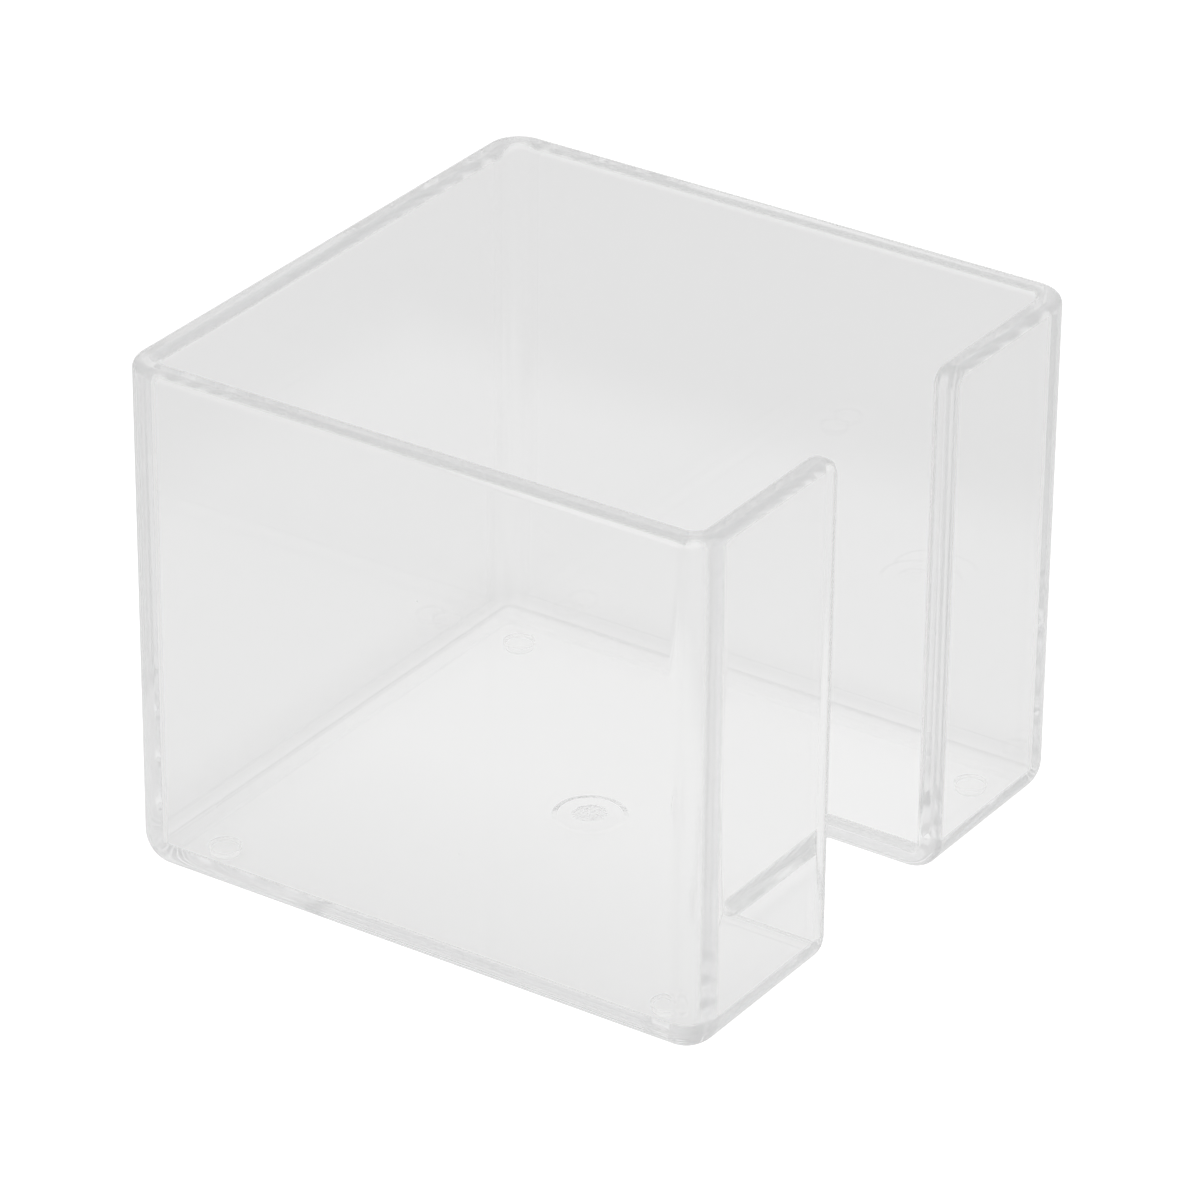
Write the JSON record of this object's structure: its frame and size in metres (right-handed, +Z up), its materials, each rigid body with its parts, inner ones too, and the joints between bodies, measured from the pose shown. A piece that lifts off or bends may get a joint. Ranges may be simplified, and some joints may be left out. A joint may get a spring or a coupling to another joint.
{
  "type": "open-top note box",
  "caption": "Clear open-topped box for square note sheets, with a full-height finger slot in the front wall that runs on into the floor, on round foot pads.",
  "frame": {"origin": "under the middle of the box, on the surface that the feet stand on", "axes": "+Z up, -Y out of the front wall, which has the slot, +X to the right of someone who faces the slot"},
  "size_m": [0.0994, 0.101, 0.0846],
  "materials": {
    "clear_moulding": "polished clear polystyrene, water-white, with a high gloss inside and out",
    "clear_pad": "clear soft plastic pad with a smooth skin"
  },
  "bodies": {
    "root": {"note_box": "clear_moulding", "foot_front_left": "clear_pad", "foot_front_right": "clear_pad", "foot_rear_left": "clear_pad", "foot_rear_right": "clear_pad"}
  },
  "joints": []
}
